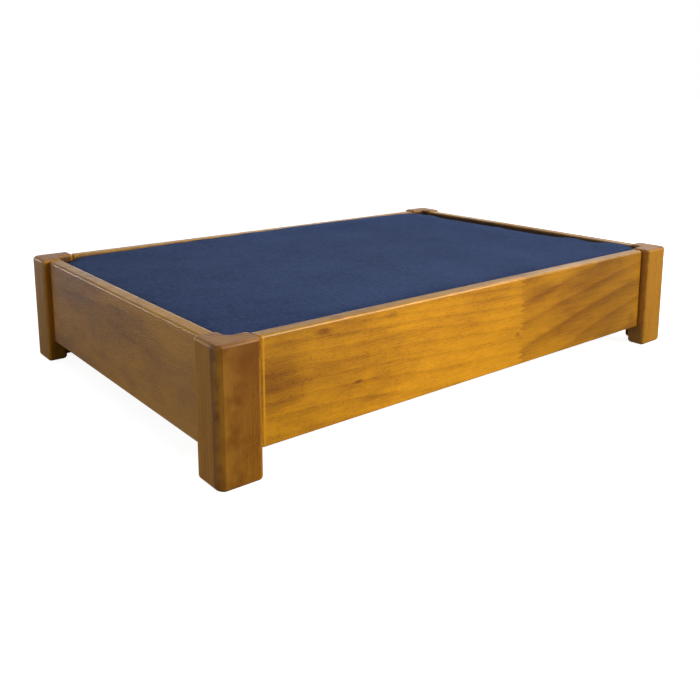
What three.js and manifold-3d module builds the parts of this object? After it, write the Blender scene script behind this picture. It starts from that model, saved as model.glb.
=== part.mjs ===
// Dog bed: a low wooden frame on four L-section corner posts, with a lift-out slatted base and a mattress.
// Millimetres, +Z up. Origin: centre of the bed, on the floor. Front is -Y, left is -X.

import * as THREE from 'three';
import { mergeVertices } from 'three/addons/utils/BufferGeometryUtils.js';
import Module from 'manifold-3d';

const wasm = await Module();
wasm.setup();

// ---- Driving dimensions -------------------------------------------------------------------------

const BED_LENGTH = 800;
const BED_WIDTH = 550;
const GAP = 0.3;                  // clearance between pieces that touch
const EASING_STEPS = 2;           // facets across a round-over
const CORNER_STEPS = 2;           // facets in half of a rounded corner
const CHAMFER_STEPS = 1;          // one facet, for edges nobody sees
const WELD_DISTANCE = 1e-4;       // points nearer than this are one

const POST_HEIGHT = 152;
const LONG_LEG = 52;              // leg of a post's L that lies along the bed's length
const SHORT_LEG = 48;             // leg that lies along its width
const POST_LEG = 28;              // thickness of both legs
const POST_OUTER_RADIUS = 9;
const POST_INNER_RADIUS = 8;
const POST_ARRIS = 5.5;
const POST_EASING = 4;            // round-over of the top and bottom edges

const RAIL_TOP = 150;
const RAIL_HEIGHT = 120;
const RAIL_THICKNESS = 18;
const RAIL_SETBACK = 9;           // how far the posts stand proud of the rails
const RAIL_END_RADIUS = 7;        // outer arris at each end
const RAIL_INNER_ARRIS = 3.4;
const RAIL_EASING = 3;

const DOWEL_DIAMETER = 8;
const DOWEL_LENGTH = 38;
const DOWEL_CHAMFER = 1;
const DOWEL_HEIGHTS = { lower: 58, upper: 122 };

const CLEAT_LENGTH = 690;
const CLEAT_DEPTH = 18;
const CLEAT_TOP = 50;
const CLEAT_HEIGHT = 18;
const CLEAT_SCREW_PITCH = 280;
const BOARD_ARRIS = 1.5;
const BOARD_CORNER = 1.7;         // radius of a board's upright corners

const SLAT_COUNT = 6;
const SLAT_WIDTH = 95;
const SLAT_LENGTH = 488;
const SLAT_THICKNESS = 10;
const SLAT_PITCH = 125;
const BATTEN_LENGTH = 706;
const BATTEN_WIDTH = 32;
const BATTEN_THICKNESS = 10;
const BATTEN_OFFSET = 150;        // batten centre line from the bed's centre line

const CLEAT_SCREW = { length: 29, shank: 2, head: 4, headDepth: 2.4, tip: 4 };
const SLAT_SCREW = { length: 17, shank: 1.75, head: 3.5, headDepth: 2.1, tip: 3 };
const SCREW_SIDES = 8;
const DOWEL_SIDES = 10;
const DOWEL_HOLE_SIDES = 12;
const HOLE_MOUTH = 1;             // how far a screw's hole runs on past the surface

const MATTRESS_LENGTH = 741;
const MATTRESS_WIDTH = 488;
const MATTRESS_TOP = 145;
const MATTRESS_RADIUS = 14;
const COVER_THICKNESS = 2;
const CORE_EASING = 3;
const MATTRESS_CORNER_STEPS = 4;

const ZIP_LENGTH = 500;
const ZIP_HEIGHT = 10;
const ZIP_CENTRE = 102;           // height above the floor
const ZIP_SLOT_DEPTH = 8;         // the band's slot, half of it outside the band
const SLIDER_LENGTH = 16;
const SLIDER_HEIGHT = 9;
const SLIDER_THICKNESS = 2.6;
const SLIDER_TAIL_SHARE = 0.55;   // height of the tail end, as a share of the nose end
const SLIDER_TAIL_RADIUS = 1.5;
const SLIDER_NOSE_RADIUS = 2.5;
const SLIDER_EASING = 0.6;
const SLIDER_REST = 236;          // slider centre from the bed's centre, at the closed end

// ---- Derived dimensions -------------------------------------------------------------------------

const INNER_FACE = RAIL_SETBACK + RAIL_THICKNESS;       // rail inner face from the bed's outer face
const RAIL_AXIS = RAIL_SETBACK + RAIL_THICKNESS / 2;    // rail mid-plane from the bed's outer face
const RAIL_BOTTOM = RAIL_TOP - RAIL_HEIGHT;
const LONG_CLEAR = BED_LENGTH - 2 * LONG_LEG;           // between the posts, along the length
const SHORT_CLEAR = BED_WIDTH - 2 * SHORT_LEG;          // and along the width
const DOWEL_HOLE_DEPTH = DOWEL_LENGTH / 2 + GAP;
const SLAT_BOTTOM = CLEAT_TOP + GAP;
const SLAT_TOP = SLAT_BOTTOM + SLAT_THICKNESS;
const MATTRESS_BOTTOM = SLAT_TOP + 2 * GAP;
const BATTEN_TOP = SLAT_BOTTOM - GAP;
const COVER_INSET = COVER_THICKNESS + GAP;

// ---- Materials ----------------------------------------------------------------------------------

const wood = (color) => new THREE.MeshStandardMaterial({ color, roughness: 0.42, metalness: 0 });
const MATERIALS = {
  post: wood(0xa5692c),
  rail: wood(0xb87a2c),
  hiddenWood: wood(0xd2ac74),
  steel: new THREE.MeshStandardMaterial({ color: 0xb9b4a2, roughness: 0.35, metalness: 1 }),
  cover: new THREE.MeshStandardMaterial({ color: 0x3a4866, roughness: 0.95, metalness: 0 }),
  foam: new THREE.MeshStandardMaterial({ color: 0xe9e2c6, roughness: 1, metalness: 0 }),
  zip: new THREE.MeshStandardMaterial({ color: 0x222c44, roughness: 0.7, metalness: 0 }),
};

// ---- Booleans -----------------------------------------------------------------------------------

function toSolid(geometry) {
  const bare = geometry.clone();
  bare.deleteAttribute('normal');
  bare.deleteAttribute('uv');
  const merged = mergeVertices(bare, WELD_DISTANCE);
  return new wasm.Manifold(new wasm.Mesh({
    numProp: 3,
    vertProperties: merged.attributes.position.array,
    triVerts: new Uint32Array(merged.index.array),
  }));
}

function toGeometry(solid) {
  const mesh = solid.getMesh();
  const geometry = new THREE.BufferGeometry();
  geometry.setAttribute('position', new THREE.BufferAttribute(mesh.vertProperties, 3));
  geometry.setIndex(new THREE.BufferAttribute(mesh.triVerts, 1));
  geometry.computeVertexNormals();
  return geometry;
}

function cut(geometry, tools) {
  const solid = tools.reduce((rest, tool) => rest.subtract(toSolid(tool)), toSolid(geometry));
  return toGeometry(solid);
}

// ---- Basic shapes -------------------------------------------------------------------------------

const quarterTurns = (count) => (count * Math.PI) / 2;

// A closed outline with each corner [x, y, radius] rounded by an arc.
function roundedOutline(corners) {
  const shape = new THREE.Shape();
  const count = corners.length;
  corners.forEach(([x, y, radius], i) => {
    const here = new THREE.Vector2(x, y);
    const before = new THREE.Vector2(...corners[(i + count - 1) % count]);
    const after = new THREE.Vector2(...corners[(i + 1) % count]);
    const start = here.clone().addScaledVector(before.sub(here).normalize(), radius);
    const end = here.clone().addScaledVector(after.sub(here).normalize(), radius);
    const centre = start.clone().add(end).sub(here);
    const from = Math.atan2(start.y - centre.y, start.x - centre.x);
    const to = Math.atan2(end.y - centre.y, end.x - centre.x);
    const clockwise = Math.sin(to - from) < 0;
    shape.absarc(centre.x, centre.y, radius, from, to, clockwise);
  });
  shape.closePath();
  return shape;
}

function roundedRectangle(length, width, radius) {
  const x = length / 2;
  const y = width / 2;
  return roundedOutline([[-x, -y, radius], [x, -y, radius], [x, y, radius], [-x, y, radius]]);
}

// Extrudes an outline up from z = 0, with its top and bottom edges eased.
function easedPrism(shape, height, easing, easingSteps = EASING_STEPS, curveSegments = CORNER_STEPS) {
  const geometry = new THREE.ExtrudeGeometry(shape, {
    depth: height - 2 * easing,
    curveSegments,
    bevelEnabled: easing > 0,
    bevelThickness: easing,
    bevelSize: easing,
    bevelOffset: -easing,
    bevelSegments: easingSteps,
  });
  return geometry.translate(0, 0, easing);
}

function board(length, width, thickness) {
  const outline = roundedRectangle(length, width, BOARD_CORNER);
  return easedPrism(outline, thickness, BOARD_ARRIS, CHAMFER_STEPS, CHAMFER_STEPS);
}

function dowelHole() {
  const radius = DOWEL_DIAMETER / 2 + GAP;
  const length = 2 * DOWEL_HOLE_DEPTH;
  return new THREE.CylinderGeometry(radius, radius, length, DOWEL_HOLE_SIDES).rotateZ(quarterTurns(1));
}

// A countersunk screw: head top at z = 0, pointing down. The clearance grows it into the hole it needs.
function screwGeometry({ length, shank, head, headDepth, tip }, clearance = 0) {
  const profile = [
    [0, -length - clearance],
    [shank + clearance, tip - length - clearance],
    [shank + clearance, -headDepth - clearance],
    [head + clearance, 0],
  ];
  if (clearance > 0) profile.push([head + clearance, HOLE_MOUTH]);
  profile.push([0, profile.at(-1)[1]]);
  const points = profile.map(([r, z]) => new THREE.Vector2(r, z));
  return new THREE.LatheGeometry(points, SCREW_SIDES).rotateX(quarterTurns(1));
}

function part(name, geometry, material, position = [0, 0, 0]) {
  const mesh = new THREE.Mesh(geometry, material);
  mesh.name = name;
  mesh.position.set(...position);
  return mesh;
}

// ---- Corner posts -------------------------------------------------------------------------------

// Outer corner at the origin, legs along +X and +Y, with two blind dowel holes in the end of each leg.
function postGeometry(xLeg, yLeg) {
  const outline = roundedOutline([
    [0, 0, POST_OUTER_RADIUS],
    [xLeg, 0, POST_ARRIS],
    [xLeg, POST_LEG, POST_ARRIS],
    [POST_LEG, POST_LEG, POST_INNER_RADIUS],
    [POST_LEG, yLeg, POST_ARRIS],
    [0, yLeg, POST_ARRIS],
  ]);
  const holes = Object.values(DOWEL_HEIGHTS).flatMap((z) => {
    const alongX = dowelHole().translate(xLeg, RAIL_AXIS, z);
    const alongY = dowelHole().rotateZ(quarterTurns(1)).translate(RAIL_AXIS, yLeg, z);
    return [alongX, alongY];
  });
  return cut(easedPrism(outline, POST_HEIGHT, POST_EASING), holes);
}

function posts() {
  const x = BED_LENGTH / 2;
  const y = BED_WIDTH / 2;
  // Every second post is turned a quarter, so its long leg is the other one.
  const geometries = [postGeometry(LONG_LEG, SHORT_LEG), postGeometry(SHORT_LEG, LONG_LEG)];
  return [
    ['front_left_post', -x, -y],
    ['front_right_post', x, -y],
    ['rear_right_post', x, y],
    ['rear_left_post', -x, y],
  ].map(([name, px, py], turn) => {
    const post = part(name, geometries[turn % 2], MATERIALS.post, [px, py, 0]);
    post.rotation.z = quarterTurns(turn);
    return post;
  });
}

// ---- Rails, with their dowels and cleats --------------------------------------------------------

// Each side is built facing -Y about its own centre, with its outer face at y = 0, then turned into place.
const SIDES = [
  { name: 'front', clear: LONG_CLEAR, reach: BED_WIDTH / 2, ends: ['left', 'right'], cleat: true },
  { name: 'right', clear: SHORT_CLEAR, reach: BED_LENGTH / 2, ends: ['front', 'rear'], cleat: false },
  { name: 'rear', clear: LONG_CLEAR, reach: BED_WIDTH / 2, ends: ['right', 'left'], cleat: true },
  { name: 'left', clear: SHORT_CLEAR, reach: BED_LENGTH / 2, ends: ['rear', 'front'], cleat: false },
];

const cleatScrewPlaces = [-CLEAT_SCREW_PITCH, 0, CLEAT_SCREW_PITCH];

function cleatScrew(x, clearance = 0) {
  return screwGeometry(CLEAT_SCREW, clearance)
    .rotateX(quarterTurns(-1))
    .translate(x, INNER_FACE + CLEAT_DEPTH, CLEAT_TOP - CLEAT_HEIGHT / 2);
}

function railGeometry(clear, hasCleat) {
  const half = clear / 2 - GAP;
  const outline = roundedOutline([
    [-half, RAIL_SETBACK, RAIL_END_RADIUS],
    [half, RAIL_SETBACK, RAIL_END_RADIUS],
    [half, INNER_FACE, RAIL_INNER_ARRIS],
    [-half, INNER_FACE, RAIL_INNER_ARRIS],
  ]);
  const blank = easedPrism(outline, RAIL_HEIGHT, RAIL_EASING).translate(0, 0, RAIL_BOTTOM);
  const dowelHoles = [-half, half].flatMap((x) => Object.values(DOWEL_HEIGHTS).map((z) => (
    dowelHole().translate(x, RAIL_AXIS, z)
  )));
  const screwHoles = hasCleat ? cleatScrewPlaces.map((x) => cleatScrew(x, GAP)) : [];
  return cut(blank, [...dowelHoles, ...screwHoles]);
}

function dowelGeometry() {
  const r = DOWEL_DIAMETER / 2;
  const h = DOWEL_LENGTH / 2;
  const profile = [[0, -h], [r - DOWEL_CHAMFER, -h], [r, -h + DOWEL_CHAMFER]];
  const mirrored = profile.map(([x, y]) => [x, -y]).reverse();
  const points = [...profile, ...mirrored].map(([x, y]) => new THREE.Vector2(x, y));
  return new THREE.LatheGeometry(points, DOWEL_SIDES).rotateZ(quarterTurns(1));
}

function dowels({ name, clear, ends }) {
  const joint = (clear - GAP) / 2;
  return ends.flatMap((end, i) => Object.entries(DOWEL_HEIGHTS).map(([level, z]) => {
    const x = i === 0 ? -joint : joint;
    const dowel = `${name}_rail_dowel_${end}_${level}`;
    return part(dowel, dowelGeometry(), MATERIALS.hiddenWood, [x, RAIL_AXIS, z]);
  }));
}

function cleat(name) {
  const blank = board(CLEAT_LENGTH, CLEAT_DEPTH, CLEAT_HEIGHT)
    .translate(0, INNER_FACE + GAP + CLEAT_DEPTH / 2, CLEAT_TOP - CLEAT_HEIGHT);
  const geometry = cut(blank, cleatScrewPlaces.map((x) => cleatScrew(x, GAP)));
  const screws = cleatScrewPlaces.map((x, i) => (
    part(`${name}_cleat_screw_${i + 1}`, cleatScrew(x), MATERIALS.steel)
  ));
  return [part(`${name}_cleat`, geometry, MATERIALS.hiddenWood), ...screws];
}

function sides() {
  return SIDES.map((side, turn) => {
    const group = new THREE.Group();
    group.rotation.z = quarterTurns(turn);
    const assembly = new THREE.Group();
    assembly.position.y = -side.reach;
    assembly.add(part(`${side.name}_rail`, railGeometry(side.clear, side.cleat), MATERIALS.rail));
    assembly.add(...dowels(side));
    if (side.cleat) assembly.add(...cleat(side.name));
    group.add(assembly);
    return group;
  });
}

// ---- Lift-out base ------------------------------------------------------------------------------

const slatCentres = Array.from({ length: SLAT_COUNT }, (_, i) => (i - (SLAT_COUNT - 1) / 2) * SLAT_PITCH);
const battenCentres = [-BATTEN_OFFSET, BATTEN_OFFSET];
const slatScrewPlaces = slatCentres.map((x) => battenCentres.map((y) => [x, y]));

function slatScrew([x, y], clearance = 0) {
  return screwGeometry(SLAT_SCREW, clearance).translate(x, y, SLAT_TOP - GAP);
}

function slat(x, i) {
  const blank = board(SLAT_WIDTH, SLAT_LENGTH, SLAT_THICKNESS).translate(x, 0, SLAT_BOTTOM);
  const geometry = cut(blank, slatScrewPlaces[i].map((place) => slatScrew(place, GAP)));
  return part(`slat_${i + 1}`, geometry, MATERIALS.hiddenWood);
}

function batten(name, y) {
  const blank = board(BATTEN_LENGTH, BATTEN_WIDTH, BATTEN_THICKNESS)
    .translate(0, y, BATTEN_TOP - BATTEN_THICKNESS);
  const geometry = cut(blank, slatCentres.map((x) => slatScrew([x, y], GAP)));
  return part(name, geometry, MATERIALS.hiddenWood);
}

function base() {
  const screws = slatScrewPlaces.flatMap(([front, rear], i) => [
    part(`slat_${i + 1}_screw_front`, slatScrew(front), MATERIALS.steel),
    part(`slat_${i + 1}_screw_rear`, slatScrew(rear), MATERIALS.steel),
  ]);
  return [
    ...slatCentres.map(slat),
    batten('front_batten', -BATTEN_OFFSET),
    batten('rear_batten', BATTEN_OFFSET),
    ...screws,
  ];
}

// ---- Mattress -----------------------------------------------------------------------------------

const mattressOutline = (inset) => roundedRectangle(
  MATTRESS_LENGTH - 2 * inset,
  MATTRESS_WIDTH - 2 * inset,
  MATTRESS_RADIUS - inset,
);

function coverBand(bottom, height) {
  const ring = mattressOutline(0);
  ring.holes.push(mattressOutline(COVER_THICKNESS));
  const blank = easedPrism(ring, height, 0, CHAMFER_STEPS, MATTRESS_CORNER_STEPS).translate(0, 0, bottom);
  const slot = new THREE.BoxGeometry(ZIP_LENGTH, ZIP_SLOT_DEPTH, ZIP_HEIGHT)
    .translate(0, MATTRESS_WIDTH / 2, ZIP_CENTRE);
  return cut(blank, [slot]);
}

function zipTape() {
  return new THREE.BoxGeometry(ZIP_LENGTH - 2 * GAP, COVER_THICKNESS, ZIP_HEIGHT - 2 * GAP)
    .translate(0, (MATTRESS_WIDTH - COVER_THICKNESS) / 2, ZIP_CENTRE);
}

// A slider body that narrows towards its tail, lying against the outside of the zip.
function zipSlider() {
  const nose = SLIDER_LENGTH / 2;
  const tall = SLIDER_HEIGHT / 2;
  const tail = tall * SLIDER_TAIL_SHARE;
  const outline = roundedOutline([
    [-nose, -tail, SLIDER_TAIL_RADIUS],
    [nose, -tall, SLIDER_NOSE_RADIUS],
    [nose, tall, SLIDER_NOSE_RADIUS],
    [-nose, tail, SLIDER_TAIL_RADIUS],
  ]);
  return easedPrism(outline, SLIDER_THICKNESS, SLIDER_EASING, CHAMFER_STEPS)
    .rotateX(quarterTurns(-1))
    .translate(SLIDER_REST, MATTRESS_WIDTH / 2 + GAP, ZIP_CENTRE);
}

function mattress() {
  const bandBottom = MATTRESS_BOTTOM + COVER_INSET;
  const bandHeight = MATTRESS_TOP - COVER_INSET - bandBottom;
  const slab = (inset, height, easing) => (
    easedPrism(mattressOutline(inset), height, easing, CHAMFER_STEPS, MATTRESS_CORNER_STEPS)
  );
  const panel = slab(0, COVER_THICKNESS, 0);
  const core = slab(COVER_INSET, bandHeight, CORE_EASING);
  return [
    part('mattress_core', core, MATERIALS.foam, [0, 0, bandBottom]),
    part('cover_top', panel, MATERIALS.cover, [0, 0, MATTRESS_TOP - COVER_THICKNESS]),
    part('cover_bottom', panel, MATERIALS.cover, [0, 0, MATTRESS_BOTTOM]),
    part('cover_band', coverBand(bandBottom, bandHeight), MATERIALS.cover),
    part('zip_tape', zipTape(), MATERIALS.zip),
    part('zip_slider', zipSlider(), MATERIALS.steel),
  ];
}

// ---- Assembly -----------------------------------------------------------------------------------

const dogBed = new THREE.Group();
dogBed.add(...posts(), ...sides(), ...base(), ...mattress());

export default dogBed;
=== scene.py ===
"""A dog bed: varnished wooden frame on four L-section posts, slatted base and navy mattress.

Metres, +Z up, front -Y, left -X, the origin at the middle of the bed on the floor.
"""

import math

import bpy
import numpy as np
from mathutils import Matrix, Vector, noise
from mathutils.bvhtree import BVHTree


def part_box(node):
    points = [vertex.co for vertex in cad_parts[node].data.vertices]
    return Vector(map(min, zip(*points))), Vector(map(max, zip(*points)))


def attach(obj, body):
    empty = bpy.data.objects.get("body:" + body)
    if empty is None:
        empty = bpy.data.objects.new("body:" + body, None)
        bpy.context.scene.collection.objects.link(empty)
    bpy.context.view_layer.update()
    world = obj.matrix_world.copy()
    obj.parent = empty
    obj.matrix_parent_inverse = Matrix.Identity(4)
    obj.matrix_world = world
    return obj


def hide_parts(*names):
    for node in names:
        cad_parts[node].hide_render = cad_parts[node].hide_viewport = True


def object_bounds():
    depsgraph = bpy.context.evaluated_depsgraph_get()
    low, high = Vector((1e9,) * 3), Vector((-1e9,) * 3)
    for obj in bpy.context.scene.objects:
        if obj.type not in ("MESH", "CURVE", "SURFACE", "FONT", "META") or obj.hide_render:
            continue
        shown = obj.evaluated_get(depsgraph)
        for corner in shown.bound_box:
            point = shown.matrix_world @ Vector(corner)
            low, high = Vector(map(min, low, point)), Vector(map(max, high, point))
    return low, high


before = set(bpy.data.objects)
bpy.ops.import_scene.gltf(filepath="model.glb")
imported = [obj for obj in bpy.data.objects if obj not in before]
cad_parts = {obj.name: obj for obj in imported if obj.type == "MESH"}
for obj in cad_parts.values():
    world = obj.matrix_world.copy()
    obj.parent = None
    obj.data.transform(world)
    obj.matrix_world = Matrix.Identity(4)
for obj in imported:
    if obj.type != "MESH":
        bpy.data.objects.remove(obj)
cad_low, cad_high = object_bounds()
NODES = sorted(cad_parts)

MM = 0.001
GAP = 0.3 * MM
HALF_TURN = math.pi
QUARTER_TURN = math.pi / 2

# ---- Camera, light and stage ------------------------------------------------

CAMERA_PLACE = Vector((-0.7501, -0.9151, 0.3896))
CAMERA_AZIMUTH = math.radians(-38.71)
CAMERA_ELEVATION = math.radians(10.209)
CAMERA_LENS = 40.72
CAMERA_SHIFT = -0.1644
AMBIENT = 0.14
MIRRORED = 0.36


def add_object(name, data):
    found = bpy.data.objects.new(name, data)
    bpy.context.scene.collection.objects.link(found)
    return found


def turned_to(way):
    """The rotation that turns +Z that way, such as the back of a camera or a light."""
    return way.to_track_quat("Z", "Y").to_matrix().to_4x4()


def add_camera():
    flat = math.cos(CAMERA_ELEVATION)
    back = Vector((
        math.sin(CAMERA_AZIMUTH) * flat,
        -math.cos(CAMERA_AZIMUTH) * flat,
        math.sin(CAMERA_ELEVATION),
    ))
    data = bpy.data.cameras.new("camera")
    data.lens = CAMERA_LENS
    data.shift_y = CAMERA_SHIFT
    camera = add_object("camera", data)
    camera.matrix_world = Matrix.Translation(CAMERA_PLACE) @ turned_to(back)
    bpy.context.scene.camera = camera


def add_softbox(name, place, target, size, power, colour, spread=HALF_TURN):
    data = bpy.data.lights.new(name, "AREA")
    data.shape = "RECTANGLE"
    data.size, data.size_y = size
    data.energy = power
    data.color = colour
    data.spread = spread
    place = Vector(place)
    light = add_object(name, data)
    light.matrix_world = Matrix.Translation(place) @ turned_to(place - Vector(target))


def add_lights():
    middle = (0, 0, 0.1)
    add_softbox("key", (1.5, -2.1, 1.1), middle, (1.3, 1.0), 41, (1.0, 0.96, 0.9))
    add_softbox(
        "pool", (-0.05, -1.7, 0.32), (-0.09, -0.27, 0.09), (0.3, 0.2), 0.36, (1.0, 0.97, 0.9),
        spread=math.radians(30),
    )
    add_softbox("side", (-2.2, -0.1, 0.08), (-0.4, -0.1, 0.08), (1.2, 0.14), 5.2, (1.0, 0.96, 0.92))
    add_softbox("low", (-1.3, 2.2, 0.08), (-0.4, 0, 0.08), (1.4, 0.12), 6, (0.85, 0.92, 1.0))
    add_softbox("fill", (-2.3, 1.5, 0.7), middle, (1.8, 1.3), 3, (0.92, 0.95, 1.0))
    add_softbox("back", (0.9, 2.6, 0.12), (0, 0.275, 0.08), (2.0, 0.2), 13, (1.0, 0.97, 0.93))
    add_softbox("horizon", (1.7, 2.8, 0.6), middle, (2.6, 0.35), 3.2, (1.0, 0.98, 0.93))
    add_softbox("top", (0.6, 0, 2.5), middle, (2.0, 1.8), 4.7, (1.0, 0.99, 0.97))
    add_softbox("glow", (1.0, 0.2, 0.7), (0.35, 0.05, 0.15), (0.5, 0.5), 1.9, (1.0, 0.99, 0.96))


def add_world():
    """A white background behind a dim, even light, brighter where the varnish mirrors it."""
    world = bpy.data.worlds.new("studio")
    world.use_nodes = True
    nodes, links = world.node_tree.nodes, world.node_tree.links
    nodes.clear()
    path = nodes.new("ShaderNodeLightPath")

    def background(tint, strength):
        node = nodes.new("ShaderNodeBackground")
        node.inputs["Color"].default_value = (*tint, 1)
        node.inputs["Strength"].default_value = strength
        return node.outputs[0]

    def either(ray, otherwise, then):
        node = nodes.new("ShaderNodeMixShader")
        for socket, source in zip(node.inputs, (path.outputs[ray], otherwise, then)):
            links.new(source, socket)
        return node.outputs[0]

    ambient = background((0.95, 0.97, 1.0), AMBIENT)
    mirrored = background((1.0, 0.98, 0.95), MIRRORED)
    lit = either("Is Glossy Ray", ambient, mirrored)
    seen = either("Is Camera Ray", lit, background((1, 1, 1), 1))
    links.new(seen, nodes.new("ShaderNodeOutputWorld").inputs["Surface"])
    bpy.context.scene.world = world
    bpy.context.scene.view_settings.view_transform = "Standard"


# ---- Node trees -------------------------------------------------------------


class Shader:
    """A material's nodes. Each call adds one node and returns its output."""

    def __init__(self, name):
        self.material = bpy.data.materials.new(name)
        self.material.use_nodes = True
        self.nodes = self.material.node_tree.nodes
        self.links = self.material.node_tree.links
        self.nodes.clear()

    def add(self, kind, inputs=None, output=0, **settings):
        node = self.nodes.new(kind)
        for key, value in settings.items():
            setattr(node, key, value)
        for key, value in (inputs or {}).items():
            if isinstance(value, bpy.types.NodeSocket):
                self.links.new(value, node.inputs[key])
            else:
                node.inputs[key].default_value = value
        return node.outputs[output]

    def math(self, operation, a, b=0.0, c=0.0):
        return self.add("ShaderNodeMath", {0: a, 1: b, 2: c}, operation=operation)

    def place(self):
        """Where a point is, along the object's own axes."""
        return self.add("ShaderNodeTexCoord", output=3)

    def normal(self):
        return self.add("ShaderNodeNewGeometry", output=1)

    def parts(self, vector):
        return self.add("ShaderNodeSeparateXYZ", {0: vector}).node.outputs

    def length(self, x, y):
        flat = self.add("ShaderNodeCombineXYZ", {0: x, 1: y})
        return self.add("ShaderNodeVectorMath", {0: flat}, output=1, operation="LENGTH")

    def scaled(self, vector, by):
        return self.add("ShaderNodeVectorMath", {0: vector, 1: by}, operation="MULTIPLY")

    def moved(self, vector, by):
        return self.add("ShaderNodeVectorMath", {0: vector, 1: by}, operation="ADD")

    def noise(self, vector, scale=1.0, detail=2.0, roughness=0.5):
        inputs = {"Vector": vector, "Scale": scale, "Detail": detail, "Roughness": roughness}
        return self.add("ShaderNodeTexNoise", inputs)

    def ease(self, value, low, high, start=0.0, end=1.0):
        """The value's way from low to high, as a smooth step from start to end."""
        inputs = {"Value": value, "From Min": low, "From Max": high, "To Min": start, "To Max": end}
        return self.add("ShaderNodeMapRange", inputs, interpolation_type="SMOOTHSTEP")

    def mix(self, factor, a, b, blend="MIX"):
        inputs = {0: factor, 6: colour(a), 7: colour(b)}
        return self.add("ShaderNodeMix", inputs, output=2, data_type="RGBA", blend_type=blend)

    def curve(self, value, stops):
        """The height at the value of straight lines through the stops."""
        node = self.nodes.new("ShaderNodeValToRGB")
        self.links.new(value, node.inputs[0])
        points = node.color_ramp.elements
        while len(points) < len(stops):
            points.new(1.0)
        for point, (position, height) in zip(points, stops):
            point.position = position
            point.color = (height, height, height, 1)
        return node.outputs[0]

    def surface(self, base, roughness, height, depth, **settings):
        """Ends the tree in a Principled shader with that base colour, roughness and bump."""
        bump = self.add("ShaderNodeBump", {"Height": height, "Distance": depth})
        inputs = {"Base Color": base, "Roughness": roughness, "Normal": bump}
        inputs.update({key.replace("_", " "): value for key, value in settings.items()})
        shader = self.add("ShaderNodeBsdfPrincipled", inputs)
        self.add_output(shader)
        return self.material

    def add_output(self, shader):
        output = self.nodes.new("ShaderNodeOutputMaterial")
        self.links.new(shader, output.inputs["Surface"])


def colour(value):
    return value if isinstance(value, bpy.types.NodeSocket) else (*value, 1.0)


def linear(red, green, blue):
    """A colour given as 0 to 255 in sRGB, as the shaders want it."""
    def channel(value):
        value /= 255
        return value / 12.92 if value <= 0.04045 else ((value + 0.055) / 1.055) ** 2.4
    return (channel(red), channel(green), channel(blue))


# ---- Materials --------------------------------------------------------------

GRAIN_ORDER = {"x": (0, 1, 2), "y": (1, 2, 0), "z": (2, 0, 1)}
SEED_STEP = (1.7, 0.31, 0.53)

# How fast each kind of variation changes along the grain and the two ways across it, per metre.
SWAY = (2.6, 7.0, 7.0)
RIPPLE = (11.0, 60.0, 60.0)
FIBRES = (16.0, 620.0, 620.0)
FLECKS = (190.0, 620.0, 620.0)
CLOUDS = (5.0, 13.0, 13.0)
MOTTLE = (34.0, 95.0, 95.0)
SCUFFS = (45.0, 45.0, 45.0)

# How far the sway and the ripple push a growth ring.
SWAY_PUSH = 16 * MM
RIPPLE_PUSH = 1.6 * MM

# How dark the wood is across a growth ring, and across the broad bands of several rings.
RING_PROFILE = [(0.0, 0.1), (0.45, 0.22), (0.84, 1.0), (1.0, 0.1)]
BAND_PROFILE = [(0.0, 0.3), (0.3, 0.0), (0.7, 1.0), (1.0, 0.3)]
BANDS_PER_RING = 0.21

# What each adds to the tone, where 0 is light and 1 is dark.
RING_SHARE = 0.42
BAND_SHARE = 0.3
STREAK_SHARE = 0.7
MOTTLE_SHARE = 1.2
PORE_SHARE = 0.24
TONE_START = 0.06
TONE_RANGE = (-0.25, 1.35)

# The same beyond a finger joint: wider rings, fewer pores and a calmer, slightly darker ground.
BEYOND_RINGS_APART = -0.62
BEYOND_RINGS = 0.22
BEYOND_MOTTLE = -0.7
BEYOND_PORES = -0.16
BEYOND_TONE = 0.08

MARK_RAGGED = 0.8
MARK_RANGE = (1.5, 0.4)

# Painted reflection: the milky grey veil mixed over faces that look left.
PAINTED_VEIL_GREY = (0.5, 0.5, 0.56)
# Painted shade: faces that look into the bed, in shade beside the mattress, are mixed towards this dark
# brown.
INNER_SHADE_COLOUR = (0.016, 0.003, 0.0)
INNER_SHADE_STRENGTH = 0.68
END_RING_TONE = 0.42
END_RING_STRENGTH = 0.9
# Lighter convex edges: partly wear through the stain, partly a painted highlight along the arrises.
WEAR_AND_HIGHLIGHT_GAIN, WEAR_AND_HIGHLIGHT_LIFT = 1.35, 0.03
GRAIN_DEPTH = 0.12 * MM


def finger_joint(s, along, deep, fingers):
    """One beyond the zigzag of a finger joint and nought before it, with how the rings slope."""
    at, reach, pitch, shift, slope = fingers
    wave = s.math("PINGPONG", deep, pitch / 2)
    edge = s.math("MULTIPLY_ADD", wave, 2 * reach / pitch, at - reach / 2)
    beyond = s.math("GREATER_THAN", along, edge)
    jump = s.add("ShaderNodeVectorMath", {0: shift, 3: beyond}, operation="SCALE")
    sloped = s.math("MULTIPLY", s.math("SUBTRACT", along, at), slope)
    return beyond, jump, s.math("MULTIPLY", beyond, sloped)


def ring_radius(s, grain, ripple, heart, taper):
    """How far a place is from the heart of a tapering log whose rings sway."""
    sway = s.noise(s.scaled(grain, SWAY), detail=2.0)
    along, across, deep = s.parts(grain)
    radius = s.length(s.math("SUBTRACT", across, heart[0]), s.math("SUBTRACT", deep, heart[1]))
    radius = s.math("MULTIPLY_ADD", along, taper, radius)
    radius = s.math("MULTIPLY_ADD", sway, SWAY_PUSH, radius)
    return s.math("MULTIPLY_ADD", ripple, RIPPLE_PUSH, radius)


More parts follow.
